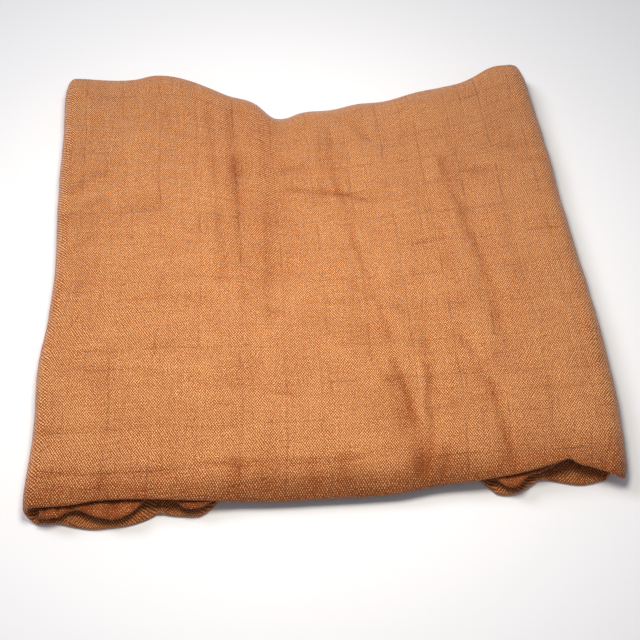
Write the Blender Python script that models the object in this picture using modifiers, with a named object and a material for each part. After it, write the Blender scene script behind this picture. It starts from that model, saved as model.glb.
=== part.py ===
"""A folded swaddle blanket, modelled at rest on a table.

One cut of muslin is first folded in four along its length and then in three across, so the bundle is
three soft layers of four plies each. In section the cloth runs from the inner layer's free end, round
the right side into the base layer, round the left side into the top layer, and ends where the top
layer falls over the right side. That path is one open sheet, thickened into one solid.

Metres, +Z up. X runs along the front rim, Y from the front rim to the far rim, and the origin is under
the middle of the bundle.
"""

import math
from collections import namedtuple

import bmesh
import bpy
import numpy as np

MM = 0.001

# Driving dimensions.
LAYER = 4.2 * MM  # four plies of muslin lying together
GAP = 1.3 * MM  # air between one layer and the next
LEFT_TURN = -155.5 * MM  # where base and top start to turn round the left side
RIGHT_TURN = 153.5 * MM  # where inner and base turn round the right side
INNER_END = -149.0 * MM  # the inner layer's free end, just inside the left turn
FALL_START = 157.5 * MM  # where the top layer starts to fall over the right side
FALL_RADIUS = 9.5 * MM
FALL_ANGLE = math.radians(72)
RIM_FALL = 17.0 * MM  # how far in from a rim the top layer starts to sag
RIM_THICKNESS = 0.45  # share of the layer's thickness left at its rims, which are rounded folds
BUNDLE_WIDTH = 2 * 163.0 * MM
INNER_SHARE = 0.5  # how much of a crease in the top layer the inner layer takes up

# Heights of the three layers' middles.
BASE_Z = LAYER / 2
INNER_Z = BASE_Z + LAYER + GAP
TOP_Z = INNER_Z + LAYER + GAP

# Rows from a rim inwards, in mm, and the number of even steps between the innermost ones.
RIM_ROWS = (0.0, 2.2, 5.5, 10.0, 15.5, 22.0)
MIDDLE_STEPS = 12

# Columns along the cloth's path: how many steps each stretch is cut into.
FLAT_STEPS = 28
TOP_STEPS = 30
RIGHT_TURN_STEPS = 4
LEFT_TURN_STEPS = 7
FALL_STEPS = 5

CLOTH_COLOUR = (0.578, 0.227, 0.091, 1.0)  # terracotta, linear
CLOTH_ROUGHNESS = 0.92

# The top layer's rims, in mm: where the front and far rims lie at each X, and how far each sags below
# the flat top (less than nothing where it is pushed up by the folds under it).
TopRim = namedtuple("TopRim", "x front front_sag far far_sag")
TOP_RIMS = (
    TopRim(-163, -150.6, 0.5, 153.0, 0.5),
    TopRim(-150, -149.3, -0.5, 159.5, 1.5),
    TopRim(-126, -147.5, -1.5, 158.5, 2.5),
    TopRim(-102, -147.0, -1.5, 161.5, 1.5),
    TopRim(-88, -146.9, -1.0, 160.0, 2.0),
    TopRim(-70, -147.8, 0.5, 153.5, 3.0),
    TopRim(-52, -150.4, 4.5, 143.0, 4.0),
    TopRim(-30, -152.0, 6.3, 133.0, 5.0),
    TopRim(-17, -153.0, 6.5, 119.0, 8.0),
    TopRim(-2, -153.8, 6.5, 123.5, 6.5),
    TopRim(25, -153.8, 6.5, 126.5, 5.0),
    TopRim(42, -153.2, 6.3, 130.5, 4.5),
    TopRim(60, -150.6, 5.5, 131.5, 4.0),
    TopRim(88, -149.2, 2.5, 137.5, 3.5),
    TopRim(106, -147.9, -0.5, 142.0, 3.0),
    TopRim(122, -145.6, -2.5, 146.5, 2.0),
    TopRim(134, -143.2, -3.5, 153.0, 1.5),
    TopRim(148, -147.0, -1.0, 160.0, 1.0),
    TopRim(160, -150.0, 0.0, 159.5, 0.0),
    TopRim(170, -151.5, 0.0, 154.5, 0.0),
)

# The front rims of the two lower layers, in mm. They push out in tongues at both front corners and
# stay back under the top layer between them. Lift raises the base layer's rim off the table.
LowerRim = namedtuple("LowerRim", "x inner inner_lift base base_lift")
LOWER_RIMS = (
    LowerRim(-163, -147.0, 0.0, -155.5, 0.0),
    LowerRim(-152, -147.5, 0.3, -157.5, 0.0),
    LowerRim(-138, -152.0, 0.0, -158.3, 0.0),
    LowerRim(-126, -155.0, 0.6, -160.2, 0.0),
    LowerRim(-116, -156.5, 0.4, -160.4, 0.0),
    LowerRim(-104, -152.0, 0.6, -158.8, 0.0),
    LowerRim(-93, -144.0, 0.0, -155.0, 0.5),
    LowerRim(-82, -149.0, 0.4, -156.3, 0.3),
    LowerRim(-69, -149.5, 0.0, -157.4, 0.0),
    LowerRim(-58, -141.0, 0.0, -149.5, 0.0),
    LowerRim(-42, -142.0, 0.0, -146.0, 0.0),
    LowerRim(20, -142.0, 0.0, -146.5, 0.0),
    LowerRim(50, -138.0, 0.0, -146.0, 0.0),
    LowerRim(74, -140.0, 0.0, -146.0, 0.0),
    LowerRim(89, -141.0, 0.0, -150.0, 0.0),
    LowerRim(99, -143.0, 0.5, -156.0, 0.6),
    LowerRim(109, -143.0, 0.8, -156.0, 1.0),
    LowerRim(120, -140.0, 0.8, -149.0, 0.8),
    LowerRim(132, -139.0, 0.5, -149.6, 0.2),
    LowerRim(146, -141.0, 0.0, -152.6, 0.0),
    LowerRim(160, -141.0, 0.0, -150.6, 0.0),
)
INNER_INSET = 12.0 * MM  # the inner layer's far rim stops this far short of the top layer's
BASE_INSET = 7.0 * MM  # and the base layer's this far

# How the two sides wander, in mm: from the straight left and right sides, at each Y.
Sides = namedtuple("Sides", "y left right")
SIDES = (
    Sides(-152, 0.0, -1.5),
    Sides(-125, 0.8, 1.0),
    Sides(-100, 1.0, 3.0),
    Sides(-68, 0.0, 3.4),
    Sides(-30, 3.6, 2.4),
    Sides(0, 4.8, 1.0),
    Sides(38, 3.2, -0.4),
    Sides(80, 2.0, -1.4),
    Sides(115, 2.0, -3.0),
    Sides(158, 0.0, -5.0),
)

# Broad soft troughs across the top, in mm: the line each runs along, its depth and its half width.
Trough = namedtuple("Trough", "x_from y_from x_to y_to depth half_width")
TROUGHS = (
    Trough(-18, 112, -22, -6, 1.3, 13),
    Trough(22, -35, 49, -140, 0.9, 8),
    Trough(62, -44, 57, -138, 0.8, 8),
    Trough(98, 96, 108, -50, 0.8, 9),
    Trough(88, -90, 102, -136, 0.9, 8),
    Trough(-158, 30, -98, 42, 0.7, 8),
    Trough(-62, 95, -62, -15, 0.6, 9),
)

# Which layer a point of the path belongs to, as shares of inner, base and top.
INNER = np.array((1.0, 0.0, 0.0))
BASE = np.array((0.0, 1.0, 0.0))
TOP = np.array((0.0, 0.0, 1.0))

PathPoint = namedtuple("PathPoint", "x z share")


def smooth_column(rows, column, at):
    """A column of a table, in metres, read at a place by a curve without overshoot between its rows."""
    first = rows[0]._fields[0]
    places = np.array([getattr(row, first) for row in rows]) * MM
    values = np.array([getattr(row, column) for row in rows]) * MM
    at = min(max(at, places[0]), places[-1])
    k = min(int(np.searchsorted(places, at, side="right")) - 1, len(places) - 2)
    step = (at - places[k]) / (places[k + 1] - places[k])
    eased = step * step * (3 - 2 * step)
    return values[k] + (values[k + 1] - values[k]) * (0.5 * step + 0.5 * eased)


def run(x_from, x_to, z, share, steps):
    """A level stretch of one layer, without its last point."""
    return [PathPoint(x_from + (x_to - x_from) * k / steps, z, share) for k in range(steps)]


def turn(x, z_from, z_to, side, share_from, share_to, steps):
    """Half a turn from one layer to another, bulging to the left (-1) or right (+1)."""
    radius = abs(z_to - z_from) / 2
    middle = (z_from + z_to) / 2
    points = []
    for k in range(steps):
        angle = math.pi * k / steps
        blend = (1 - math.cos(angle)) / 2
        share = share_from * (1 - blend) + share_to * blend
        z = middle + (z_from - middle) * math.cos(angle)
        points.append(PathPoint(x + side * radius * math.sin(angle), z, share))
    return points


def fall(steps):
    """The top layer's last stretch, falling over the right side."""
    points = []
    for k in range(steps + 1):
        angle = FALL_ANGLE * k / steps
        x = FALL_START + FALL_RADIUS * math.sin(angle)
        z = TOP_Z - FALL_RADIUS * (1 - math.cos(angle))
        points.append(PathPoint(x, z, TOP))
    return points


def cloth_path():
    """The section's middle line, from the inner layer's free end to the top layer's."""
    return (
        run(INNER_END, RIGHT_TURN, INNER_Z, INNER, FLAT_STEPS)
        + turn(RIGHT_TURN, INNER_Z, BASE_Z, 1, INNER, BASE, RIGHT_TURN_STEPS)
        + run(RIGHT_TURN, LEFT_TURN, BASE_Z, BASE, FLAT_STEPS)
        + turn(LEFT_TURN, BASE_Z, TOP_Z, -1, BASE, TOP, LEFT_TURN_STEPS)
        + run(LEFT_TURN, FALL_START, TOP_Z, TOP, TOP_STEPS)
        + fall(FALL_STEPS)
    )


def rims_at(point):
    """Where the cloth's front and far rims lie at a point of the path."""
    top_front = smooth_column(TOP_RIMS, "front", point.x)
    top_far = smooth_column(TOP_RIMS, "far", point.x)
    inner_front = smooth_column(LOWER_RIMS, "inner", point.x)
    base_front = smooth_column(LOWER_RIMS, "base", point.x)
    front = float(point.share @ (inner_front, base_front, top_front))
    far = top_far - float(point.share @ (INNER_INSET, BASE_INSET, 0.0))
    return front, far


def rows_between(front, far):
    """Y of every row, close together near the rims."""
    steps = np.array(RIM_ROWS) * MM
    near = front + steps
    beyond = (far - steps)[::-1]
    middle = np.linspace(near[-1], beyond[0], MIDDLE_STEPS + 1)[1:-1]
    return np.concatenate([near, middle, beyond])


def trough_depth(x, y):
    """How deep the broad troughs are at a place."""
    depth = 0.0
    for trough in TROUGHS:
        start = np.array((trough.x_from, trough.y_from)) * MM
        along = np.array((trough.x_to, trough.y_to)) * MM - start
        place = np.array((x, y)) - start
        reach = min(max(place @ along / (along @ along), 0.0), 1.0)
        away = np.linalg.norm(place - reach * along) / (trough.half_width * MM)
        depth += trough.depth * MM * math.exp(-away * away)
    return depth


def rim_sag(point, from_front, from_far):
    """How far a point near a rim lies below its level, by layer. A lift counts as less than nothing."""
    near_front = max(1 - from_front / RIM_FALL, 0.0) ** 2
    near_far = max(1 - from_far / RIM_FALL, 0.0) ** 2
    top = smooth_column(TOP_RIMS, "front_sag", point.x) * near_front
    top += smooth_column(TOP_RIMS, "far_sag", point.x) * near_far
    inner = -smooth_column(LOWER_RIMS, "inner_lift", point.x) * near_front
    base = -smooth_column(LOWER_RIMS, "base_lift", point.x) * near_front
    return float(point.share @ (inner, base, top))


def side_shift(x, y):
    """How far the wandering sides carry a place sideways."""
    left = smooth_column(SIDES, "left", y)
    right = smooth_column(SIDES, "right", y)
    across = 0.5 + x / BUNDLE_WIDTH
    return left * (1 - across) + right * across


def cloth_point(point, front, far, y):
    """The place of one point of the cloth's middle surface."""
    share = point.share[2] + INNER_SHARE * point.share[0]
    z = point.z - share * trough_depth(point.x, y) - rim_sag(point, y - front, far - y)
    return point.x + side_shift(point.x, y), y, z


def fold_flat_grid(mesh):
    """Lays a flat grid out along the folded path, a column for each point of it."""
    path = cloth_path()
    rims = [rims_at(point) for point in path]
    columns = [rows_between(*rim) for rim in rims]
    last_column = len(path) - 1
    last_row = len(columns[0]) - 1
    cloth = bmesh.new()
    bmesh.ops.create_grid(cloth, x_segments=last_column, y_segments=last_row, size=0.5)
    rim_points = []
    for vertex in cloth.verts:
        column = round((vertex.co.x + 0.5) * last_column)
        row = round((vertex.co.y + 0.5) * last_row)
        if column in (0, last_column) or row in (0, last_row):
            rim_points.append(vertex.index)
        vertex.co = cloth_point(path[column], *rims[column], columns[column][row])
    cloth.verts.index_update()
    cloth.to_mesh(mesh)
    cloth.free()
    return rim_points


def muslin_material():
    material = bpy.data.materials.new("terracotta_muslin")
    material.use_nodes = True
    shader = material.node_tree.nodes["Principled BSDF"]
    shader.inputs["Base Color"].default_value = CLOTH_COLOUR
    shader.inputs["Roughness"].default_value = CLOTH_ROUGHNESS
    shader.inputs["Metallic"].default_value = 0.0
    material.diffuse_color = CLOTH_COLOUR
    return material


def stand_on_origin(blanket):
    """Moves the mesh so that the origin is under the middle of the thickened cloth, on the table."""
    graph = bpy.context.evaluated_depsgraph_get()
    solid = blanket.evaluated_get(graph)
    corners = np.array([vertex.co for vertex in solid.data.vertices])
    low = corners.min(axis=0)
    high = corners.max(axis=0)
    offset = np.array((-(low[0] + high[0]) / 2, -(low[1] + high[1]) / 2, -low[2]))
    for vertex in blanket.data.vertices:
        vertex.co = np.array(vertex.co) + offset


def folded_cloth(collection):
    mesh = bpy.data.meshes.new("folded_cloth")
    rim_points = fold_flat_grid(mesh)
    blanket = bpy.data.objects.new("folded_cloth", mesh)
    collection.objects.link(blanket)
    mesh.materials.append(muslin_material())
    mesh.shade_smooth()

    # Every point is in the group: whole thickness inside, thinner at the rims.
    thickness = blanket.vertex_groups.new(name="thickness")
    thickness.add(range(len(mesh.vertices)), 1.0, "REPLACE")
    thickness.add(rim_points, RIM_THICKNESS, "REPLACE")

    solidify = blanket.modifiers.new("thickness", "SOLIDIFY")
    solidify.thickness = LAYER
    solidify.offset = 0.0
    solidify.vertex_group = thickness.name
    stand_on_origin(blanket)
    return blanket


def clear_scene():
    for existing in list(bpy.data.objects):
        bpy.data.objects.remove(existing, do_unlink=True)


def main():
    clear_scene()
    collection = bpy.data.collections.new("folded_swaddle_blanket")
    bpy.context.scene.collection.children.link(collection)
    folded_cloth(collection)


main()
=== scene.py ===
"""Looks of a folded swaddle blanket: one cut of terracotta double gauze, folded in four and then in three.

The piece is the whole cloth as one thin sheet. Across, it runs the way its solid does: the inner panel's
free end, round the right side into the base panel, round the left side into the top panel, which falls
over the right side. Along, it is folded in half twice first, so each panel is four plies deep.
"""

import math
from collections import namedtuple

import bpy
import numpy as np
from mathutils import Matrix, Vector, noise


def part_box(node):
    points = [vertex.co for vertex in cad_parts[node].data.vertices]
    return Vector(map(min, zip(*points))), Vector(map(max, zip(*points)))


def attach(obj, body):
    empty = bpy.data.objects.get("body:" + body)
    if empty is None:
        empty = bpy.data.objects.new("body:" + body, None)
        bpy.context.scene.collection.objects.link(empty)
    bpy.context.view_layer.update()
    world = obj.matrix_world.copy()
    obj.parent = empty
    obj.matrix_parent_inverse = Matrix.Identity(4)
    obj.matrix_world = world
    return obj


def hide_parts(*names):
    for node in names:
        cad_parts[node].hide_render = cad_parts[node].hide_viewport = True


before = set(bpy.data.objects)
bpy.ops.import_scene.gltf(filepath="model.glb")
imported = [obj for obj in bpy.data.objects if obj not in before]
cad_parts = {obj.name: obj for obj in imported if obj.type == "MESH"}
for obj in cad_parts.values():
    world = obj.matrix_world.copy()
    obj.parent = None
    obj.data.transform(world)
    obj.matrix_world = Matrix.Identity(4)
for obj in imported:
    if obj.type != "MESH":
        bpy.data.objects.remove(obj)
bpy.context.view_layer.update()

MM = 0.001

# The cloth and its fold.
CLOTH = 0.5 * MM  # two gauzes woven as one, pressed by their own weight
HEM = 0.95 * MM  # the same, turned over at the cut edges
HEM_WIDTH = 7.0 * MM
LAYER = 4.2 * MM  # four plies
GAP = 1.3 * MM  # the air between one panel and the next
PLY_STEP = (LAYER - CLOTH) / 3  # from the middle of one ply to the middle of the next
LEFT_TURN = -155.5 * MM  # where the base panel turns up and over into the top one
RIGHT_TURN = 157.0 * MM  # where the inner panel turns down and under into the base one
INNER_END = -153.0 * MM
FALL_START = 157.5 * MM  # where the top panel starts to fall over the right side
FALL_RADIUS = 9.5 * MM
FALL_ANGLE = math.radians(72)
RIM_FALL = 17.0 * MM  # how far in from a rim its sag or its lift starts
BUNDLE_WIDTH = 2 * 163.0 * MM
LEFT_SIDE = -162.9 * MM  # where the bundle's left side is in the tables below
FRONT_SIDE = -160.3 * MM  # and its front
BASE_Z = LAYER / 2
INNER_Z = BASE_Z + LAYER + GAP
TOP_Z = INNER_Z + LAYER + GAP
INNER_SHARE = 0.5  # how much of the top panel's broad troughs the inner one follows
FAR_PULL = 160.0 * MM  # where the far rim would lie if nothing had drawn it in
PINCH = 0.38  # how much of a panel's thickness its folded rims lose
PINCH_REACH = 10.0 * MM
SHOULDER = 0.35  # how high the low shoulders of a crease stand, as a share of its depth
SHOULDER_SPREAD = 2.2  # and how much wider than it they are
WOBBLE = 2.0 * MM  # how far a crease wanders to each side of its straight line
WOBBLE_LENGTH = 13.0 * MM
BREAK_LENGTH = 20.0 * MM  # a crease fades and comes back over about this length
BREAK_MEAN, BREAK_SWING = 0.9, 1.1
BREAK_LIMITS = (0.3, 1.4)
RELIEF_REACH = 5.0 * MM  # how far in from a rim the crinkles are at their full height
PLY_INSET = 3.1 * MM  # how far short of the rims the inner plies stop

# Columns across the cloth and rows along it.
MOUTH_END = -103.0 * MM  # the left mouth, where the lower panels are crumpled, ends here
LEFT_CORNER_END = -50.0 * MM
RIGHT_CORNER_START = 80.0 * MM
MOUTH_PITCH = 2.4 * MM
LOWER_PITCH = 3.8 * MM
HIDDEN_PITCH = 27.0 * MM
TOP_PITCH = 2.25 * MM
TURN_STEPS = 6
WRAP_STEPS = 12
FALL_STEPS = 7
RIM_ROWS = (0.0, 4.0, 9.0, 15.5)
HIDDEN_STEPS = 3
OUTER_STEPS = 124
CREASE_STEPS = 4
RIM_STEPS = 8

# The top panel's rims, in mm: where the front and far rims lie at each X, and how far each sags.
TopRim = namedtuple("TopRim", "x front front_sag far far_sag")
TOP_RIMS = (
    TopRim(-163, -151.0, 0.8, 157.0, 0.5),
    TopRim(-157, -151.2, 0.8, 159.4, 1.0),
    TopRim(-150, -151.2, 0.9, 159.5, 1.5),
    TopRim(-136, -150.8, 0.8, 158.4, 2.2),
    TopRim(-125, -149.6, 0.6, 157.8, 2.5),
    TopRim(-113, -149.4, 0.6, 158.0, 2.0),
    TopRim(-101, -149.8, 0.7, 160.6, 1.5),
    TopRim(-88, -150.5, 1.0, 160.0, 2.0),
    TopRim(-75, -151.6, 1.6, 155.8, 2.6),
    TopRim(-60, -152.2, 3.6, 148.0, 3.4),
    TopRim(-50, -152.6, 5.4, 142.2, 4.0),
    TopRim(-30, -153.6, 6.5, 133.8, 5.0),
    TopRim(-18, -153.8, 6.5, 122.5, 7.0),
    TopRim(-9, -153.8, 6.5, 121.8, 7.0),
    TopRim(0, -153.8, 6.5, 124.6, 6.0),
    TopRim(25, -153.8, 6.5, 126.5, 5.0),
    TopRim(42, -153.2, 6.3, 130.5, 4.5),
    TopRim(60, -150.6, 5.5, 131.5, 4.0),
    TopRim(88, -149.1, 3.0, 139.5, 3.5),
    TopRim(106, -147.5, 1.0, 142.8, 3.0),
    TopRim(122, -144.5, -0.5, 146.5, 2.0),
    TopRim(130, -142.7, -1.6, 150.5, 1.7),
    TopRim(135, -141.5, -2.2, 153.5, 1.5),
    TopRim(139, -144.2, -1.8, 156.0, 1.3),
    TopRim(147, -146.4, -0.4, 159.6, 1.0),
    TopRim(155, -149.2, 0.3, 160.2, 0.5),
    TopRim(162, -151.8, 0.8, 160.2, 0.0),
    TopRim(170, -151.0, 0.5, 158.5, 0.0),
)

# The front rims of the two lower panels, in mm, and how far each is lifted.
LowerRim = namedtuple("LowerRim", "x inner inner_lift base base_lift")
LOWER_RIMS = (
    LowerRim(-163, -152.3, 0.5, -151.5, 0.0),
    LowerRim(-158, -154.3, 0.5, -156.0, 0.0),
    LowerRim(-152, -155.9, 0.8, -157.0, 0.0),
    LowerRim(-146, -156.3, 1.0, -157.2, 0.0),
    LowerRim(-142, -155.3, 0.8, -157.8, 0.0),
    LowerRim(-137, -152.7, 0.5, -159.2, 0.0),
    LowerRim(-130, -153.7, 0.8, -160.8, 0.0),
    LowerRim(-126, -155.9, 1.1, -161.4, 0.0),
    LowerRim(-118, -158.3, 1.0, -161.2, 0.0),
    LowerRim(-110, -158.3, 1.1, -160.8, 0.0),
    LowerRim(-104, -155.5, 1.1, -159.8, 0.0),
    LowerRim(-98, -149.9, 0.8, -158.2, 0.0),
    LowerRim(-90, -144.3, 0.5, -154.8, 0.5),
    LowerRim(-86, -144.9, 0.5, -155.8, 0.4),
    LowerRim(-82, -149.7, 0.8, -156.6, 0.3),
    LowerRim(-77, -154.3, 0.6, -157.2, 0.0),
    LowerRim(-68, -154.9, 0.4, -157.4, 0.0),
    LowerRim(-62, -152.3, 0.3, -153.6, 0.0),
    LowerRim(-57, -147.3, 0.2, -148.6, 0.0),
    LowerRim(-50, -143.0, 0.0, -146.5, 0.0),
    LowerRim(20, -142.0, 0.0, -146.5, 0.0),
    LowerRim(50, -138.0, 0.0, -146.0, 0.0),
    LowerRim(80, -138.0, 0.0, -144.0, 0.0),
    LowerRim(88, -141.0, 0.0, -147.6, 0.0),
    LowerRim(95, -149.3, 0.9, -154.6, 0.5),
    LowerRim(101, -153.7, 1.3, -155.8, 0.6),
    LowerRim(106, -153.7, 1.5, -155.4, 0.6),
    LowerRim(112, -148.1, 1.3, -153.0, 0.8),
    LowerRim(119, -146.5, 1.0, -148.6, 0.8),
    LowerRim(126, -143.3, 0.8, -148.8, 0.5),
    LowerRim(132, -140.3, 0.7, -150.2, 0.2),
    LowerRim(145, -140.0, 0.0, -152.4, 0.0),
    LowerRim(154, -141.0, 0.0, -151.0, 0.0),
    LowerRim(163, -143.0, 0.0, -149.9, 0.0),
)
FAR_INSETS = (12.0 * MM, 7.0 * MM, 0.0)  # how far each panel's far rim stops short of the top one's

# How far the left and right sides lie to the right of where they would if they were straight, in mm.
Sides = namedtuple("Sides", "y left right")
SIDES = (
    Sides(-152, -2.2, -1.5),
    Sides(-125, 0.2, 1.0),
    Sides(-100, 1.0, 3.0),
    Sides(-68, 0.0, 3.4),
    Sides(-30, 3.6, 2.4),
    Sides(0, 4.8, 1.0),
    Sides(38, 3.2, -0.4),
    Sides(80, 2.0, -1.4),
    Sides(115, 2.0, -3.0),
    Sides(158, 0.0, -5.0),
)

# Broad troughs that every ply of the top panel follows, in mm: how deep each is, half its width, and the
# places that it runs through.
Crease = namedtuple("Crease", "depth half_width way")
BROAD_TROUGHS = (
    Crease(1.3, 15, ((-20, 112), (-26, -6))),
    Crease(0.9, 8, ((22, -35), (49, -140))),
    Crease(0.8, 8, ((62, -44), (57, -138))),
    Crease(0.8, 9, ((98, 96), (108, -50))),
    Crease(0.9, 8, ((88, -90), (102, -136))),
    Crease(0.7, 8, ((-158, 30), (-98, 42))),
    Crease(1.0, 11, ((-46, 122), (-46, 0))),
)

# Creases in the top ply alone, in mm. A depth below nothing is a ridge.
CREASES = (
    Crease(0.65, 2.6, ((93, 74), (94, 51), (99, 26), (102, 6), (105, -18), (107, -42), (106, -69))),
    Crease(0.6, 2.3, ((18, 102), (18, 67), (23, 30), (25, 3), (33, -27), (39, -52), (42, -76))),
    Crease(1.2, 2.6, ((42, -76), (46, -100), (51, -118), (52, -146))),
    Crease(0.5, 3.4, ((38, -88), (45, -118))),
    Crease(0.4, 2.4, ((11, 102), (11, 71), (10, 42))),
    Crease(0.5, 2.2, ((19, -22), (35, -33), (49, -43))),
    Crease(0.6, 2.4, ((61, -46), (73, -54), (81, -63), (89, -80), (94, -93))),
    Crease(1.0, 2.7, ((94, -93), (99, -118), (103, -142))),
    Crease(0.4, 2.2, ((62, -44), (61, -80))),
    Crease(0.9, 2.2, ((60, -80), (59, -100), (57, -125), (56, -141))),
    Crease(-0.5, 2.6, ((55, -80), (54, -136))),
    Crease(0.6, 2.2, ((-15, 51), (15, 48), (39, 41), (60, 43), (88, 55))),
    Crease(0.5, 2.6, ((-63, 130), (-61, 62), (-59, 7), (-61, -17))),
    Crease(0.5, 2.6, ((-49, 122), (-48, 61), (-47, -3))),
    Crease(0.45, 2.4, ((-26, 103), (-28, 44), (-31, -17), (-32, -45))),
    Crease(0.6, 4.5, ((-46, 80), (-46, 69))),
    Crease(0.3, 2.2, ((83, 19), (84, -22))),
    Crease(0.3, 2.3, ((126, 25), (125, -22))),
    Crease(0.35, 2.2, ((3, -30), (8, -58))),
    Crease(0.3, 2.3, ((-72, 99), (-72, 66))),
    Crease(0.5, 3.5, ((29, 113), (44, 93))),
    Crease(0.35, 2.1, ((-16, 69), (0, 69))),
    Crease(0.5, 1.6, ((-54, -87), (-19, -94))),
    Crease(0.4, 2.0, ((-149, -73), (-103, -74), (-69, -81), (-41, -84))),
    Crease(0.35, 2.2, ((-150, -60), (-115, -61), (-81, -59))),
    Crease(0.4, 2.2, ((-87, -100), (-57, -100))),
    Crease(0.35, 2.4, ((-120, -25), (-81, -25))),
    Crease(0.35, 2.0, ((-155, -109), (-100, -110))),
    Crease(0.65, 1.8, ((-155, -133), (-120, -135), (-81, -135), (-52, -134), (10, -135), (40, -132))),
    Crease(0.6, 3.4, ((-121, -138), (-122, -148))),
    Crease(0.5, 3.6, ((-49, -134), (-50, -150))),
    Crease(0.6, 3.4, ((-35, -136), (-34, -150))),
    Crease(0.5, 3.4, ((-7, -136), (-5, -150))),
    Crease(0.4, 3.6, ((9, -136), (10, -150))),
    Crease(0.7, 3.4, ((66, -134), (64, -148))),
    Crease(0.4, 1.8, ((60, -109), (94, -101), (120, -98), (151, -97))),
    Crease(0.35, 2.0, ((78, -85), (98, -79), (102, -74))),
    Crease(0.4, 2.2, ((35, -87), (49, -87))),
    Crease(0.5, 2.4, ((-155, 57), (-145, 66), (-131, 72))),
    Crease(0.5, 2.4, ((-156, 36), (-144, 46), (-133, 49))),
    Crease(0.5, 2.4, ((-157, 8), (-146, 19), (-136, 23))),
    Crease(0.3, 2.3, ((-156, -16), (-138, -14))),
    Crease(-0.35, 2.4, ((-160, -62), (-128, -56))),
    Crease(0.5, 3.5, ((108, 62), (122, 62))),
    Crease(0.45, 2.5, ((136, 82), (158, 84))),
    Crease(0.5, 2.4, ((142, 71), (160, 70))),
    Crease(0.45, 3.5, ((-33, -15), (-29, -19))),
    Crease(0.4, 3.2, ((-48, -26), (-44, -29))),
    Crease(0.4, 2.6, ((27, -36), (38, -27))),
    Crease(0.35, 2.2, ((62, 6), (78, 8))),
)

# Creases across the lower panels' front rims, where they show under the top one, in mm.
LOWER_CREASES = {
    "inner": (
        Crease(1.2, 1.7, ((-150, -145), (-150, -158))),
        Crease(-0.9, 1.8, ((-146.5, -145), (-147, -158))),
        Crease(1.2, 1.7, ((-143, -145), (-143, -158))),
        Crease(-0.6, 1.6, ((-140, -145), (-140.5, -158))),
        Crease(1.4, 2.2, ((-136, -144), (-138, -156))),
        Crease(-0.7, 2.6, ((-120, -146), (-121, -160))),
        Crease(1.7, 2.2, ((-114, -146), (-115, -160))),
        Crease(-0.8, 2.6, ((-108, -146), (-107, -160))),
        Crease(0.6, 2.2, ((-80, -146), (-76, -158))),
        Crease(0.7, 2.4, ((100, -143), (103, -156))),
    ),
    "base": (
        Crease(0.6, 3.0, ((-98, -148), (-100, -162))),
        Crease(0.5, 3.0, ((126, -142), (127, -152))),
        Crease(0.5, 3.0, ((142, -142), (145, -154))),
    ),
}

# Crinkles left by washing, in mm: the height of each set and the length of its waves both ways.
Crinkle = namedtuple("Crinkle", "height across along")
CRINKLES = (
    Crinkle(0.30, 34.0, 30.0),
    Crinkle(0.30, 9.0, 40.0),
    Crinkle(0.28, 44.0, 8.0),
    Crinkle(0.12, 8.0, 8.0),
)
PUFF = 0.22 * MM  # how far a square of the grid swells between its lines
GRID = 25.0 * MM  # the squares where the two gauzes are woven together
GRID_X = -145.3 * MM  # one of the lines across, on the top panel
GRID_Y = -134.8 * MM  # and one along
TOP_LIFT = 0.9 * MM  # the crinkled top ply lies this much looser than the others
PUCKER_REACH = 12.0 * MM  # how far in from a lower panel's rim its creases run
HEM_DRIFT = 2.5 * MM  # how unevenly the hems and inner folds lie inside the panels
HEM_DRIFT_LENGTHS = (40.0 * MM, 4.0 * MM)

# How much painted shade darkens the colour in the hollow places, where 1 is a deep crease.
LOWER_PAINTED_SHADES = (2.3, 0.85)  # the sheltered inner and base panels
RIM_PAINTED_SHADE = 1.25  # the top panel's front rim, which turns away from the light
RIM_SHADE_REACH = 13.0 * MM
RIM_UNEVEN = 0.6  # how much that reach varies along the rim
RIM_LUMP_LENGTHS = (15.0 * MM, 40.0 * MM)
BROAD_PAINTED_SHADE = 0.25  # the broad troughs
PAINTED_SHADE_LIMITS = (-1.0, 2.5)

INNER, BASE, TOP = 0, 1, 2

# Which layer of noise each unevenness reads. The crinkles read the first ones.
WOBBLE_X, WOBBLE_Y, BREAKS, HEMS, LUMPS = 8, 9, 10, 11, 12
LAYERS_APART = 7.3


def along(rows, column, at):
    """A column of a table, in metres, read at places by a smooth curve through its rows."""
    first = rows[0]._fields[0]
    places = np.array([getattr(row, first) for row in rows]) * MM
    values = np.array([getattr(row, column) for row in rows]) * MM
    slopes = np.gradient(values, places)
    at = np.clip(at, places[0], places[-1])
    k = np.clip(np.searchsorted(places, at, side="right") - 1, 0, len(places) - 2)
    span = places[k + 1] - places[k]
    t = (at - places[k]) / span
    rise = t * t * (3 - 2 * t)
    bend = t * (1 - t) ** 2 * slopes[k] - t * t * (1 - t) * slopes[k + 1]
    return values[k] + (values[k + 1] - values[k]) * rise + span * bend


def waves(x, y, across, lengthways, layer):
    """Even noise from -1 to 1 whose waves have these lengths, the same each run."""
    pairs = zip((x / across).ravel(), (y / lengthways).ravel())
    values = [noise.noise(Vector((a, b, LAYERS_APART * layer))) for a, b in pairs]
    return np.array(values).reshape(x.shape)


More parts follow.
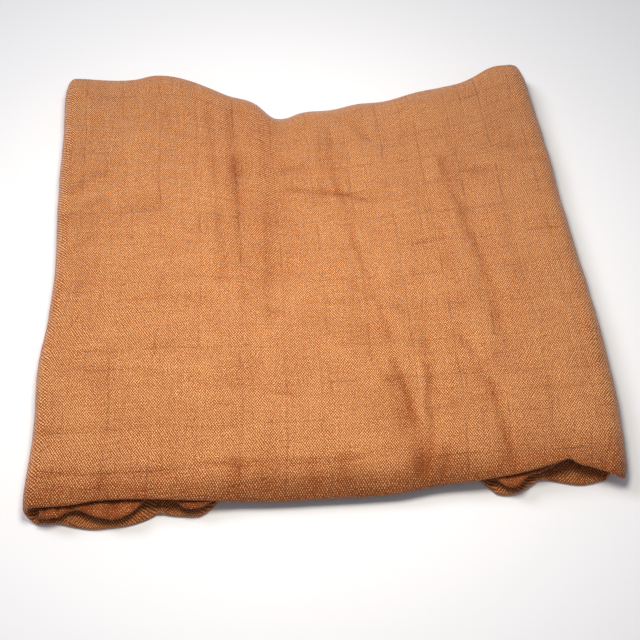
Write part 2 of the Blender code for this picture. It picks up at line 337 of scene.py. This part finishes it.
class Path:
    """The middle line of the four plies, across the bundle. Each point has the outward direction and the
    shares of the three panels in it."""

    def __init__(self):
        self.points = []

    def add(self, x, z, out_x, out_z, shares):
        weights = [shares.get(panel, 0.0) for panel in (INNER, BASE, TOP)]
        self.points.append((x, z, out_x, out_z, *weights))

    def level(self, places, z, out_z, panel):
        for x in places:
            self.add(x, z, 0.0, out_z, {panel: 1.0})

    def turn(self, x, z_from, z_to, side, panels, steps):
        middle = (z_from + z_to) / 2
        radius = abs(z_to - z_from) / 2
        start = 1 if z_from > z_to else -1
        for k in range(1, steps):
            angle = math.pi * k / steps
            out_x = side * math.sin(angle)
            out_z = start * math.cos(angle)
            later = (1 - math.cos(angle)) / 2
            shares = {panels[0]: 1 - later, panels[1]: later}
            self.add(x + radius * out_x, middle + radius * out_z, out_x, out_z, shares)

    def fall(self, steps):
        for k in range(1, steps + 1):
            angle = FALL_ANGLE * k / steps
            x = FALL_START + FALL_RADIUS * math.sin(angle)
            z = TOP_Z - FALL_RADIUS * (1 - math.cos(angle))
            self.add(x, z, math.sin(angle), math.cos(angle), {TOP: 1.0})


def spread(x_from, x_to, pitch):
    """Places from one to the other, about this far apart."""
    steps = max(2, round(abs(x_to - x_from) / pitch))
    return np.linspace(x_from, x_to, steps + 1)


def lower_columns(x_from, x_to):
    """Columns of a lower panel: closest at the left mouth, close at both corners, and wide between."""
    mouth = spread(x_from, MOUTH_END, MOUTH_PITCH)
    left = np.concatenate([mouth, spread(MOUTH_END, LEFT_CORNER_END, LOWER_PITCH)[1:]])
    middle = spread(LEFT_CORNER_END, RIGHT_CORNER_START, HIDDEN_PITCH)
    right = spread(RIGHT_CORNER_START, x_to, LOWER_PITCH)
    return np.concatenate([left, middle[1:], right[1:]])


def cloth_path():
    """The middle line of the whole cloth, from the inner panel's free end to the top panel's."""
    path = Path()
    path.level(lower_columns(INNER_END, RIGHT_TURN), INNER_Z, 1.0, INNER)
    path.turn(RIGHT_TURN, INNER_Z, BASE_Z, 1, (INNER, BASE), TURN_STEPS)
    path.level(lower_columns(LEFT_TURN, RIGHT_TURN)[::-1], BASE_Z, -1.0, BASE)
    path.turn(LEFT_TURN, BASE_Z, TOP_Z, -1, (BASE, TOP), WRAP_STEPS)
    path.level(spread(LEFT_TURN, FALL_START, TOP_PITCH), TOP_Z, 1.0, TOP)
    path.fall(FALL_STEPS)
    return np.array(path.points).T


# A row along the cloth: where it lies from the front rim to the far one as a share, how much further
# back, its height among the plies, how much of the crinkles it takes, and how far its hem drifts.
Row = namedtuple("Row", "share extra height crinkle drift")


def inner_ply(height, drift):
    """Rows from front to far of a ply that the outer one hides, close together near the rims."""
    steps = [step * MM for step in RIM_ROWS]
    rows = [Row(0.0, PLY_INSET + step, height, 0.0, drift) for step in steps]
    for k in range(1, HIDDEN_STEPS + 1):
        share = k / (HIDDEN_STEPS + 1)
        rows.append(Row(share, (PLY_INSET + steps[-1]) * (1 - 2 * share), height, 0.0, 0.0))
    rows += [Row(1.0, -PLY_INSET - step, height, 0.0, drift) for step in steps[::-1]]
    return rows


def crease(share, place, side, radius, middle, steps):
    """Rows round a fold: from under to over where side is 1, and back where it is -1."""
    rows = []
    for k in range(1, steps):
        angle = math.pi * k / steps
        back = -radius * math.sin(angle) if share == 0 else radius * math.sin(angle)
        rows.append(Row(share, place + back, middle - side * radius * math.cos(angle), 0.0, 0.0))
    return rows


def cloth_rows():
    """All rows, from the hem of the third ply to the hem of the fourth."""
    half = PLY_STEP / 2
    front = 3 * half + CLOTH / 2
    far = -half - CLOTH / 2
    rows = inner_ply(-half, 1.0)[::-1]
    rows += crease(0.0, PLY_INSET, 1, half, 0.0, CREASE_STEPS)
    rows += inner_ply(half, 0.0)
    rows[-1] = rows[-1]._replace(extra=far)
    rows += crease(1.0, far, 1, half, 2 * half, CREASE_STEPS)
    for k in range(OUTER_STEPS + 1):
        share = 1 - k / OUTER_STEPS
        rows.append(Row(share, front * (1 - share) + far * share, 3 * half, 1.0, 0.0))
    rows += crease(0.0, front, -1, 3 * half, 0.0, RIM_STEPS)
    fourth = inner_ply(-3 * half, -1.0)
    fourth[0] = fourth[0]._replace(extra=front, drift=0.0)
    return rows + fourth


def crease_relief(creases, x, y):
    """Heights of soft troughs and ridges, each with low shoulders, and how much painted shade each place
    takes.
    """
    relief = np.zeros_like(x)
    painted_shade = np.zeros_like(x)
    for line in creases:
        away = np.full_like(x, np.inf)
        for start, end in zip(line.way, line.way[1:]):
            start = np.array(start) * MM
            run = np.array(end) * MM - start
            reach = ((x - start[0]) * run[0] + (y - start[1]) * run[1]) / (run @ run)
            reach = np.clip(reach, 0, 1)
            off_x = x - start[0] - reach * run[0]
            off_y = y - start[1] - reach * run[1]
            away = np.minimum(away, np.hypot(off_x, off_y))
        away = away / (line.half_width * MM)
        trough = np.exp(-(away**2))
        shoulders = SHOULDER * np.exp(-((away / SHOULDER_SPREAD) ** 2))
        relief -= line.depth * MM * (trough - shoulders)
        # Painted shade, as deep as the trough.
        painted_shade += line.depth * trough
    return relief, painted_shade


def squeeze(distance, reach):
    """1 at a rim, falling to 0 further in than reach."""
    return np.exp(-((distance / reach) ** 2))


def panel_rims(path_x, inner, base, top):
    """Where the front and far rims lie in each column."""
    column = (len(path_x), 1)
    front = inner * along(LOWER_RIMS, "inner", path_x).reshape(column)
    front += base * along(LOWER_RIMS, "base", path_x).reshape(column)
    front += top * along(TOP_RIMS, "front", path_x).reshape(column)
    far = along(TOP_RIMS, "far", path_x).reshape(column)
    far = far - sum(inset * weight for inset, weight in zip(FAR_INSETS, (inner, base, top)))
    return front, far


def rim_sag(path_x, inner, base, top, from_front, from_far):
    """How far each point sinks with its panel's rims. The lower panels' rims are lifted instead."""
    column = (len(path_x), 1)
    near_front = np.clip(1 - from_front / RIM_FALL, 0, 1) ** 2
    near_far = np.clip(1 - from_far / RIM_FALL, 0, 1) ** 2
    sag = top * along(TOP_RIMS, "front_sag", path_x).reshape(column) * near_front
    sag += top * along(TOP_RIMS, "far_sag", path_x).reshape(column) * near_far
    sag -= inner * along(LOWER_RIMS, "inner_lift", path_x).reshape(column) * near_front
    sag -= base * along(LOWER_RIMS, "base_lift", path_x).reshape(column) * near_front
    return sag


def top_creases(x, y):
    """Heights of the top ply's own creases, which wander and break off, and the painted shade in them."""
    astray_x = WOBBLE * waves(x, y, WOBBLE_LENGTH, WOBBLE_LENGTH, WOBBLE_X)
    astray_y = WOBBLE * waves(x, y, WOBBLE_LENGTH, WOBBLE_LENGTH, WOBBLE_Y)
    relief, painted_shade = crease_relief(CREASES, x + astray_x, y + astray_y)
    breaks = waves(x, y, BREAK_LENGTH, BREAK_LENGTH, BREAKS)
    broken = np.clip(BREAK_MEAN + BREAK_SWING * breaks, *BREAK_LIMITS)
    return relief * broken, painted_shade * broken


def washed_relief(x, y):
    """Heights that washing leaves: the crinkles, and the squares of the grid swollen between its lines."""
    crinkles = sum(
        crinkle.height * MM * waves(x, y, crinkle.across * MM, crinkle.along * MM, number)
        for number, crinkle in enumerate(CRINKLES)
    )
    across_square = np.sin(math.pi * (x - GRID_X) / GRID)
    along_square = np.sin(math.pi * (y - GRID_Y) / GRID)
    return crinkles, PUFF * np.sqrt(np.abs(across_square * along_square))


def flat_places(path_x, path_z, y, height, front, far, top_left, outer_from):
    """Each point's place on the flat cloth, and how far along the cloth it is from its first hem. Lengths
    run along the folds, and start so that on the top panel's outer ply they are where the cloth lies."""
    column = (len(path_x), 1)
    flat_x = np.concatenate([[0.0], np.cumsum(np.hypot(np.diff(path_x), np.diff(path_z)))])
    flat_x = np.repeat(flat_x.reshape(column), y.shape[1], axis=1)
    flat_x += path_x[top_left] - flat_x[top_left, 0]

    steps = np.hypot(np.diff(y, axis=1), np.diff(np.broadcast_to(height, y.shape), axis=1))
    length = np.concatenate([np.zeros(column), np.cumsum(steps, axis=1)], axis=1)
    drawn_in = (FAR_PULL - far) * np.clip((y - front) / (far - front), 0, 1) ** 2
    flat_y = y + drawn_in
    row = np.arange(y.shape[1])
    outer_to = outer_from + OUTER_STEPS
    start = slice(outer_from, outer_from + 1)
    end = slice(outer_to, outer_to + 1)
    flat_y = np.where(row < outer_from, flat_y[:, start] + length[:, start] - length, flat_y)
    flat_y = np.where(row > outer_to, flat_y[:, end] + length[:, end] - length, flat_y)
    return flat_x, flat_y, length


def folded_grid():
    """Every point of the cloth as it lies, with its place on the flat cloth and how much painted shade it
    takes.
    """
    path_x, path_z, out_x, out_z, *weights = cloth_path()
    rows = cloth_rows()
    share, extra, height, crinkled, drift = np.array(rows).T
    column = (len(path_x), 1)
    inner, base, top = (weight.reshape(column) for weight in weights)
    out_x, out_z = out_x.reshape(column), out_z.reshape(column)

    front, far = panel_rims(path_x, inner, base, top)
    y = front + (far - front) * share + extra
    uneven = waves(path_x, path_z, *HEM_DRIFT_LENGTHS, HEMS).reshape(column)
    y += HEM_DRIFT * drift * uneven * np.where(share > 0.5, 1, 0)
    x = np.repeat(path_x.reshape(column), len(rows), axis=1)
    from_front = np.maximum(y - front, 0)
    from_far = np.maximum(far - y, 0)
    sag = rim_sag(path_x, inner, base, top, from_front, from_far)
    held = 1 - PINCH * (squeeze(from_front, PINCH_REACH) + squeeze(from_far, PINCH_REACH))

    # The top panel's relief, which leaves its rims alone.
    # The top ply's creases bring their painted shade with them.
    fine, painted_shade = top_creases(x, y)
    crinkles, puffs = washed_relief(x, y)
    clear_of_rims = (1 - squeeze(from_front, RELIEF_REACH)) * (1 - squeeze(from_far, RELIEF_REACH))
    weight = crinkled * top * clear_of_rims
    surface = weight * (TOP_LIFT + fine + crinkles + puffs)

    # Broad troughs and the lower panels' creases, which move all four plies together.
    broad, broad_painted_shade = crease_relief(BROAD_TROUGHS, x, y)
    sunk = (top + INNER_SHARE * inner) * broad
    # Painted shade on the lower panels, which lie in the top one's shadow, deeper along their creases.
    lower_painted_shade = 0.0
    for panel, part, panel_painted_shade in zip(LOWER_CREASES, (inner, base), LOWER_PAINTED_SHADES):
        puckers, pucker_painted_shade = crease_relief(LOWER_CREASES[panel], x, y)
        sunk += part * puckers * squeeze(from_front, PUCKER_REACH)
        lower_painted_shade = lower_painted_shade + part * (panel_painted_shade + pucker_painted_shade * squeeze(from_front, PUCKER_REACH))

    out = height * held + surface
    z = path_z.reshape(column) + out_z * out + sunk - sag
    to_right = 0.5 + x / BUNDLE_WIDTH
    shift = along(SIDES, "left", y) * (1 - to_right) + along(SIDES, "right", y) * to_right
    x_folded = x + shift + out_x * out

    # The base panel rests flat: its lowest ply, one and a half steps under its middle, stays down
    # however its rims are pinched.
    z -= base * (1 - held) * 1.5 * PLY_STEP
    z = np.maximum(z, CLOTH / 2)

    top_left = int(np.argmax(weights[TOP] == 1))
    outer_from = int(np.argmax(crinkled > 0))
    flat = flat_places(path_x, path_z, y, height, front, far, top_left, outer_from)

    # Painted shade on the top panel's front rim, where it turns down away from the light, reaching
    # unevenly along it; all the painted shade is then summed and limited.
    lumps = 1 + RIM_UNEVEN * waves(x, y, *RIM_LUMP_LENGTHS, LUMPS)
    rim_shade = RIM_PAINTED_SHADE * top * squeeze(from_front, RIM_SHADE_REACH * lumps)
    painted_shade_sum = painted_shade * weight + BROAD_PAINTED_SHADE * broad_painted_shade * top + rim_shade + lower_painted_shade
    return x_folded, y, z, *flat, np.clip(painted_shade_sum, *PAINTED_SHADE_LIMITS)


def swaddle_cloth():
    """The cloth: one grid of faces, given its thickness, with thicker hems round its four cut edges."""
    x, y, z, flat_x, flat_y, length, painted_shade = folded_grid()
    low = Vector(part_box("folded_cloth")[0])
    points = np.stack([x + low.x - LEFT_SIDE, y + low.y - FRONT_SIDE, z], axis=-1).reshape(-1, 3)
    columns, rows = x.shape
    index = np.arange(columns * rows).reshape(columns, rows)
    corners = (index[:-1, :-1], index[1:, :-1], index[1:, 1:], index[:-1, 1:])
    quads = np.stack([corner.ravel() for corner in corners], axis=1)
    mesh = bpy.data.meshes.new("swaddle_cloth")
    mesh.from_pydata(points.tolist(), [], quads.tolist())
    flat = np.stack([flat_x, flat_y], axis=-1).reshape(-1, 2)[quads.ravel()]
    uv = mesh.uv_layers.new(name="flat_cloth")
    uv.data.foreach_set("uv", flat.astype(np.float32).ravel())
    # The painted shade goes with the mesh, for the material to darken the colour by.
    painted_shade_layer = mesh.attributes.new("painted_shade", "FLOAT", "POINT")
    painted_shade_layer.data.foreach_set("value", painted_shade.astype(np.float32).ravel())
    mesh.shade_smooth()
    piece = bpy.data.objects.new("swaddle_cloth", mesh)
    bpy.context.scene.collection.objects.link(piece)

    ends = np.minimum(flat_x - flat_x[0, 0], flat_x[-1, 0] - flat_x)
    sides = np.minimum(length, length[:, -1:] - length)
    hemmed = (np.minimum(ends, sides) < HEM_WIDTH).ravel()
    group = piece.vertex_groups.new(name="thickness")
    group.add(np.flatnonzero(~hemmed).tolist(), CLOTH / HEM, "REPLACE")
    group.add(np.flatnonzero(hemmed).tolist(), 1.0, "REPLACE")
    solidify = piece.modifiers.new("thickness", "SOLIDIFY")
    solidify.thickness = HEM
    solidify.offset = 0.0
    solidify.vertex_group = group.name
    return piece


def linear(hex_colour):
    """An sRGB hex colour as linear RGBA."""
    parts = [int(hex_colour[k : k + 2], 16) / 255 for k in (1, 3, 5)]
    return tuple(c / 12.92 if c <= 0.04045 else ((c + 0.055) / 1.055) ** 2.4 for c in parts) + (1.0,)


def node(tree, kind, inputs=(), output=0, **settings):
    """An output of a new node that has these settings, and values or other sockets on its inputs."""
    made = tree.nodes.new(kind)
    for name, value in settings.items():
        setattr(made, name, value)
    for name, value in inputs.items() if isinstance(inputs, dict) else enumerate(inputs):
        if isinstance(value, bpy.types.NodeSocket):
            tree.links.new(value, made.inputs[name])
        else:
            made.inputs[name].default_value = value
    return made.outputs[output]


MATH = "ShaderNodeMath"
NOISE = "ShaderNodeTexNoise"
MIX = "ShaderNodeMix"
MIX_SHARE, MIX_FIRST, MIX_SECOND, MIX_RESULT = 0, 6, 7, 2  # its sockets for colours

# The weave. The real threads lie about 0.3 mm apart, too fine to show, so they are drawn two to three
# times as coarse. The fuzz of their fibres is finer still, so its grain is drawn as coarse as a thread.
THREAD_ACROSS = 0.70 * MM
THREAD_ALONG = 0.98 * MM
THREAD_DRIFTS = ((20 * MM, 2.2 * MM), (2.6 * MM, 0.34 * MM))  # how threads wander: wave length and reach
GRAIN = (0.6 * MM, 0.7 * MM)
WARP_SLUBS = (1.3 * MM, 45.0 * MM)  # thicker lengths of thread, along the cloth
WEFT_SLUBS = (45.0 * MM, 1.6 * MM)  # and across it
DYE_PATCHES = (26.0 * MM, 30.0 * MM)
GRID_LINE = 0.9 * MM  # half the width of the line of stitches that join the two weaves
GRID_PATCH, GRID_SHOWN = 22.0 * MM, 0.55  # the lines come and go over this length, and this much shows
NET_PATCH, NET_SHOWN = 34.0 * MM, 0.4  # the same for the fainter lines halfway between
UPRIGHT_WRINKLES = (9.0 * MM, 40.0 * MM)
LEVEL_WRINKLES = (44.0 * MM, 9.0 * MM)
WRINKLE_WIDTH = 0.045  # as a share of the noise that they follow
WRINKLE_RUN = 1.4  # the patches where wrinkles show, against their own wave lengths
WRINKLES_SHOWN = 0.35
FADING = 5.0  # how sharply a line fades at the ends of a patch
WEAVE_RELIEF = 0.16 * MM

# The ramp's dark end is the weave's gaps, and also the colour that the painted shade pulls towards.
GAUZE_DARK = "#7A3D15"
GAUZE_MIDDLE = "#AC5F1D"
GAUZE_LIGHT = "#F6C490"
DYE_RED = "#B07868"  # the dye takes a little redder in some patches and yellower in others
DYE_YELLOW = "#D8A860"
DYE_SHARE = 0.3

# How much each pattern lightens the cloth, and how high it stands in the relief.
TONES = {
    "crossings": 0.80,
    "grain": 2.6,
    "warp slubs": 0.22,
    "weft slubs": 0.22,
    "patches": 0.2,
    # Painted shade from the mesh darkens the colour.
    "painted_shade": -0.26,
    "grid": -0.12,
    "net": 0.06,
    # Painted shade along the fine wrinkles; their relief is in the bump.
    "wrinkles": -0.07,
}
HEIGHTS = {
    "grain": 1.0,
    "crossings": 0.5,
    "warp slubs": 0.5,
    "grid": -2.0,
    "net": -1.2,
    "wrinkles": -1.8,
}


def double_gauze():
    """Cotton double gauze: two thin plain weaves caught together by a thread every 25 mm, dyed in the
    piece and washed until it crinkles. The eye sees a matt, grainy checker of thread crossings, slubs
    along both threads and faint lines where the weaves meet. Painted shade darkens the colour in the
    creases, the troughs, the top panel's front rim and the lower panels, and along the fine wrinkles."""
    material = bpy.data.materials.new("cotton_double_gauze")
    material.use_nodes = True
    tree = material.node_tree
    shader = tree.nodes["Principled BSDF"]

    flat = node(tree, "ShaderNodeUVMap", uv_map="flat_cloth")
    wandering = flat
    for wave, reach in THREAD_DRIFTS:
        drift = node(tree, NOISE, {"Vector": flat, "Scale": 1 / wave, "Detail": 1.0}, "Color")
        sway = (drift, (reach, reach, 0.0), wandering)
        wandering = node(tree, "ShaderNodeVectorMath", sway, operation="MULTIPLY_ADD")
    place = node(tree, "ShaderNodeSeparateXYZ", (wandering,)).node.outputs

    def speckle(across, lengthways, detail=2.0):
        """Noise about 0 with waves of these lengths on the flat cloth."""
        stretch = {"Vector": wandering, "Scale": (1 / across, 1 / lengthways, 1.0)}
        stretched = node(tree, "ShaderNodeMapping", stretch)
        speckles = node(tree, NOISE, {"Vector": stretched, "Scale": 1.0, "Detail": detail})
        return node(tree, MATH, (speckles, 0.5), operation="SUBTRACT")

    def fading(across, lengthways, share):
        """Between 0 and 1 in patches of these lengths, so that lines come and go."""
        patchy = (speckle(across, lengthways, 1.0), FADING, share)
        shown = node(tree, MATH, patchy, operation="MULTIPLY_ADD")
        shown = node(tree, MATH, (shown, 0.0), operation="MAXIMUM")
        return node(tree, MATH, (shown, 1.0), operation="MINIMUM")

    def wrinkles(across, lengthways):
        """1 along the wandering lines of fine wrinkles, which come and go, and 0 between them."""
        off_line = node(tree, MATH, (speckle(across, lengthways, 1.0),), operation="ABSOLUTE")
        off_line = node(tree, MATH, (off_line, WRINKLE_WIDTH), operation="DIVIDE")
        off_line = node(tree, MATH, (off_line, 1.0), operation="MINIMUM")
        on_line = node(tree, MATH, (1.0, off_line), operation="SUBTRACT")
        shown = fading(lengthways * WRINKLE_RUN, across * WRINKLE_RUN, WRINKLES_SHOWN)
        return node(tree, MATH, (on_line, shown), operation="MULTIPLY")

    def lines_every(pitch, patch, share):
        """1 on the lines both ways of a grid with this pitch, where they show, and 0 between them."""
        off_lines = []
        for way, start in zip(place, (GRID_X, GRID_Y)):
            from_start = node(tree, MATH, (way, start), operation="SUBTRACT")
            squares = node(tree, MATH, (from_start, pitch), operation="DIVIDE")
            nearest = node(tree, MATH, (squares, 0.5), operation="PINGPONG")
            off = node(tree, MATH, (nearest, pitch / GRID_LINE), operation="MULTIPLY")
            off_lines.append(node(tree, MATH, (off, 1.0, 0.5), operation="SMOOTH_MIN"))
        off_both = node(tree, MATH, off_lines, operation="MULTIPLY")
        on_line = node(tree, MATH, (1.0, off_both), operation="SUBTRACT")
        return node(tree, MATH, (on_line, fading(patch, patch, share)), operation="MULTIPLY")

    def adding(shares, total):
        """The patterns added up, each by its share."""
        for pattern, share in shares.items():
            total = node(tree, MATH, (patterns[pattern], share, total), operation="MULTIPLY_ADD")
        return total

    threads = []
    for way, apart in zip(place, (THREAD_ACROSS, THREAD_ALONG)):
        turns = node(tree, MATH, (way, math.pi / apart), operation="MULTIPLY")
        threads.append(node(tree, MATH, (turns,), operation="SINE"))
    wrinkled = (wrinkles(*UPRIGHT_WRINKLES), wrinkles(*LEVEL_WRINKLES))
    patterns = {
        "crossings": node(tree, MATH, threads, operation="MULTIPLY"),
        "grid": lines_every(GRID, GRID_PATCH, GRID_SHOWN),
        "net": lines_every(GRID / 2, NET_PATCH, NET_SHOWN),
        "grain": speckle(*GRAIN, 1.0),
        "warp slubs": speckle(*WARP_SLUBS),
        "weft slubs": speckle(*WEFT_SLUBS),
        "patches": speckle(*DYE_PATCHES, 3.0),
        "wrinkles": node(tree, MATH, wrinkled, operation="MAXIMUM"),
        # Painted shade in the creases, troughs, front rim and lower panels.
        "painted_shade": node(tree, "ShaderNodeAttribute", output="Fac", attribute_name="painted_shade"),
    }

    gauze = node(tree, "ShaderNodeValToRGB", (adding(TONES, 0.5),))
    stops = gauze.node.color_ramp.elements
    stops[0].color = linear(GAUZE_DARK)
    stops[1].color = linear(GAUZE_LIGHT)
    stops.new(0.5).color = linear(GAUZE_MIDDLE)
    dye_place = node(tree, MATH, (patterns["patches"], 0.5), operation="ADD")
    dyes = {MIX_SHARE: dye_place, MIX_FIRST: linear(DYE_RED), MIX_SECOND: linear(DYE_YELLOW)}
    dye = node(tree, MIX, dyes, MIX_RESULT, data_type="RGBA")
    dipped = {MIX_SHARE: DYE_SHARE, MIX_FIRST: gauze, MIX_SECOND: dye}
    dyed = node(tree, MIX, dipped, MIX_RESULT, data_type="RGBA", blend_type="SOFT_LIGHT")
    tree.links.new(dyed, shader.inputs["Base Color"])

    relief = {"Height": adding(HEIGHTS, 0.0), "Distance": WEAVE_RELIEF, "Strength": 1.0}
    tree.links.new(node(tree, "ShaderNodeBump", relief), shader.inputs["Normal"])

    # Washed cotton is matt, and its fuzz catches a little pale light at a low angle.
    shader.inputs["Roughness"].default_value = 0.92
    shader.inputs["Specular IOR Level"].default_value = 0.25
    shader.inputs["Sheen Weight"].default_value = 0.35
    shader.inputs["Sheen Roughness"].default_value = 0.45
    shader.inputs["Sheen Tint"].default_value = linear("#E6E0E4")
    return material


def pale_floor():
    """A studio floor in matt pale paint, which takes soft shadows and mirrors nothing."""
    bpy.ops.mesh.primitive_plane_add(size=6)
    floor = bpy.context.object
    floor.name = "floor"
    material = bpy.data.materials.new("pale_floor")
    material.use_nodes = True
    shader = material.node_tree.nodes["Principled BSDF"]
    shader.inputs["Base Color"].default_value = linear("#FAFAFA")
    shader.inputs["Roughness"].default_value = 0.9
    floor.data.materials.append(material)


# The soft lights: a window behind and to the left, and a small lamp over the bundle.
Light = namedtuple("Light", "name place size watts colour")
LIGHTS = (
    Light("window", (-2.3, 1.57, 2.1), 1.3, 56.0, "#F4F6FF"),
    Light("lamp", (-0.03, -0.03, 0.37), 0.16, 1.30, "#FFF8EE"),
)
CAMERA_TURN = (6.79, 60.07, 3.28)  # in degrees: how far to the right, down and clockwise it looks
CAMERA_PLACE = (-0.0331, -0.3098, 0.4755)
CAMERA_LENS = 50.0


def soft_light(name, place, size, watts, colour):
    """A round soft light that looks at the bundle."""
    data = bpy.data.lights.new(name, "AREA")
    data.shape = "DISK"
    data.size = size
    data.energy = watts
    data.color = linear(colour)[:3]
    lamp = bpy.data.objects.new(name, data)
    bpy.context.scene.collection.objects.link(lamp)
    lamp.location = place
    lamp.visible_camera = False
    lamp.rotation_euler = (-Vector(place)).to_track_quat("-Z", "Y").to_euler()


def studio():
    """Even, slightly cool light from all round, and the two soft lights."""
    world = bpy.data.worlds.new("studio")
    bpy.context.scene.world = world
    world.use_nodes = True
    sky = world.node_tree.nodes["Background"]
    sky.inputs["Color"].default_value = linear("#F1F5FF")
    sky.inputs["Strength"].default_value = 0.26
    for light in LIGHTS:
        soft_light(*light)
    bpy.context.scene.view_settings.view_transform = "Standard"


def camera():
    """The camera stands over the front rim and looks down at the bundle, a little from the left."""
    azimuth, elevation, roll = (math.radians(angle) for angle in CAMERA_TURN)
    ahead, drop = math.cos(elevation), math.sin(elevation)
    forward = Vector((math.sin(azimuth) * ahead, math.cos(azimuth) * ahead, -drop))
    level = Vector((math.cos(azimuth), -math.sin(azimuth), 0.0))
    upward = level.cross(forward)
    right = math.cos(roll) * level + math.sin(roll) * upward
    up = math.cos(roll) * upward - math.sin(roll) * level
    data = bpy.data.cameras.new("camera")
    data.lens = CAMERA_LENS
    data.clip_start = 0.01
    eye = bpy.data.objects.new("camera", data)
    bpy.context.scene.collection.objects.link(eye)
    turned = Matrix((right, up, -forward)).transposed().to_4x4()
    eye.matrix_world = Matrix.Translation(CAMERA_PLACE) @ turned
    bpy.context.scene.camera = eye


cloth = swaddle_cloth()
cloth.data.materials.append(double_gauze())
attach(cloth, "root")
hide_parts("folded_cloth")
pale_floor()
studio()
camera()
